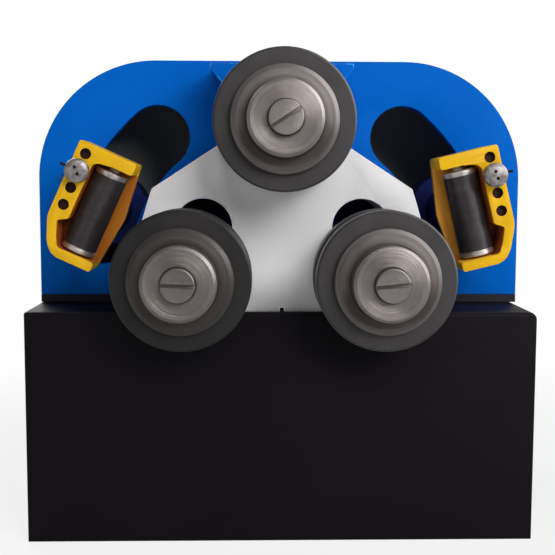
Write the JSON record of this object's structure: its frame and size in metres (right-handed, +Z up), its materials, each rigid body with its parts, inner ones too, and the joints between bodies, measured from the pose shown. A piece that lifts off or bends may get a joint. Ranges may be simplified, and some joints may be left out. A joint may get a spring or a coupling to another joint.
{
  "type": "ring roller",
  "caption": "Three-roll hydraulic ring roller on a cabinet, with a fixed top roll, two swinging lower rolls and tilting side guide rollers.",
  "frame": {"origin": "middle of the cabinet's underside, at the centre of its four mounting holes", "axes": "+Z up, +X to the right seen from the front, +Y to the back, the rolls face -Y"},
  "size_m": [0.616, 0.559, 0.59],
  "materials": {
    "black_gloss": "gloss black powder coat",
    "frame_grey": "satin dark grey paint",
    "blue_paint": "semi-gloss blue enamel",
    "nose_grey": "satin light grey paint",
    "fastener_steel": "zinc plated",
    "shaft_steel": "turned and oiled",
    "roll_steel": "hardened, dark oiled",
    "collar_steel": "turned, dark oiled",
    "guide_steel": "hardened, dark oiled",
    "bush_brass": "plain bearing bronze",
    "motor_black": "satin black paint",
    "valve_alloy": "machined",
    "ram_chrome": "hard chrome, ground",
    "yellow_paint": "semi-gloss yellow enamel"
  },
  "bodies": {
    "frame": {"base_floor": "frame_grey", "base_cover": "black_gloss", "base_front_panel": "black_gloss", "base_rear_panel": "black_gloss", "base_frame": "frame_grey", "front_plinth": "black_gloss", "panel_screws": "fastener_steel", "front_plate": "blue_paint", "rear_plate": "blue_paint", "casing_wrap": "blue_paint", "rear_cover": "blue_paint", "spacer_bars": "blue_paint", "frame_bolts": "fastener_steel", "fulcrum_shaft": "shaft_steel", "nose_plate": "nose_grey", "nose_spacers": "nose_grey", "top_bearing_housing": "blue_paint", "top_bushes": "bush_brass", "top_motor": "motor_black", "ram_cylinders": "frame_grey", "ram_glands": "bush_brass", "oil_tank": "frame_grey", "pump_motor": "motor_black", "valve_block": "valve_alloy"},
    "top_roll": {"top_roll_shaft": "shaft_steel", "top_roll_key": "shaft_steel", "top_roll_flanges": "roll_steel", "top_roll_groove_disc": "roll_steel", "top_roll_collar": "collar_steel", "top_roll_nut": "shaft_steel"},
    "left_swing_arm": {"left_arm": "blue_paint", "left_arm_bushes": "bush_brass", "left_motor": "motor_black", "left_guide_stem": "shaft_steel"},
    "right_swing_arm": {"right_arm": "blue_paint", "right_arm_bushes": "bush_brass", "right_motor": "motor_black", "right_guide_stem": "shaft_steel"},
    "left_roll": {"left_roll_shaft": "shaft_steel", "left_roll_key": "shaft_steel", "left_roll_flanges": "roll_steel", "left_roll_groove_disc": "roll_steel", "left_roll_collar": "collar_steel", "left_roll_nut": "shaft_steel"},
    "right_roll": {"right_roll_shaft": "shaft_steel", "right_roll_key": "shaft_steel", "right_roll_flanges": "roll_steel", "right_roll_groove_disc": "roll_steel", "right_roll_collar": "collar_steel", "right_roll_nut": "shaft_steel"},
    "left_ram": {"left_ram_rod": "ram_chrome"},
    "right_ram": {"right_ram_rod": "ram_chrome"},
    "left_guide": {"left_guide_bracket": "yellow_paint", "left_guide_axle": "shaft_steel"},
    "right_guide": {"right_guide_bracket": "yellow_paint", "right_guide_axle": "shaft_steel"},
    "left_guide_roll": {"left_guide_roller": "guide_steel"},
    "right_guide_roll": {"right_guide_roller": "guide_steel"},
    "left_lock_pin": {"left_guide_pin": "fastener_steel"},
    "right_lock_pin": {"right_guide_pin": "fastener_steel"}
  },
  "joints": [
    {"name": "top_roll_spin", "type": "hinge", "parent": "frame", "child": "top_roll", "pos_m": [0, -0.25, 0.506], "axis": [0, 1, 0], "continuous": true},
    {"name": "left_arm_swing", "type": "hinge", "parent": "frame", "child": "left_swing_arm", "pos_m": [0, -0.055, 0.3143], "axis": [0, 1, 0], "range_deg": [0, 26.5]},
    {"name": "right_arm_swing", "type": "hinge", "parent": "frame", "child": "right_swing_arm", "pos_m": [0, -0.055, 0.3143], "axis": [0, -1, 0], "range_deg": [0, 26.5]},
    {"name": "left_roll_spin", "type": "hinge", "parent": "left_swing_arm", "child": "left_roll", "pos_m": [-0.11607, -0.25, 0.3264], "axis": [0, 1, 0], "continuous": true},
    {"name": "right_roll_spin", "type": "hinge", "parent": "right_swing_arm", "child": "right_roll", "pos_m": [0.11607, -0.25, 0.3264], "axis": [0, 1, 0], "continuous": true},
    {"name": "left_ram_lift", "type": "slide", "parent": "frame", "child": "left_ram", "axis": [0, 0, 1], "range_m": [0, 0.0855]},
    {"name": "right_ram_lift", "type": "slide", "parent": "frame", "child": "right_ram", "axis": [0, 0, 1], "range_m": [0, 0.0855]},
    {"name": "left_guide_tilt", "type": "hinge", "parent": "left_swing_arm", "child": "left_guide", "pos_m": [-0.22092, -0.19, 0.40177], "axis": [0, 1, 0], "range_deg": [-19.4, 0.6]},
    {"name": "right_guide_tilt", "type": "hinge", "parent": "right_swing_arm", "child": "right_guide", "pos_m": [0.22092, -0.19, 0.40177], "axis": [0, -1, 0], "range_deg": [-8.8, 11.2]},
    {"name": "left_guide_roller_spin", "type": "hinge", "parent": "left_guide", "child": "left_guide_roll", "pos_m": [-0.22092, -0.218, 0.40177], "axis": [0.4131, 0, 0.9107], "continuous": true},
    {"name": "right_guide_roller_spin", "type": "hinge", "parent": "right_guide", "child": "right_guide_roll", "pos_m": [0.22092, -0.218, 0.40177], "axis": [-0.2385, 0, 0.9711], "continuous": true},
    {"name": "left_lock_pin_pull", "type": "slide", "parent": "left_guide", "child": "left_lock_pin", "axis": [0, -1, 0], "range_m": [0, 0.05]},
    {"name": "right_lock_pin_pull", "type": "slide", "parent": "right_guide", "child": "right_lock_pin", "axis": [0, -1, 0], "range_m": [0, 0.05]}
  ],
  "couplings": [
    {"joint": "left_ram_lift", "follows": "left_arm_swing", "m_per_rad": 0.18328},
    {"joint": "right_ram_lift", "follows": "right_arm_swing", "m_per_rad": 0.18328}
  ]
}
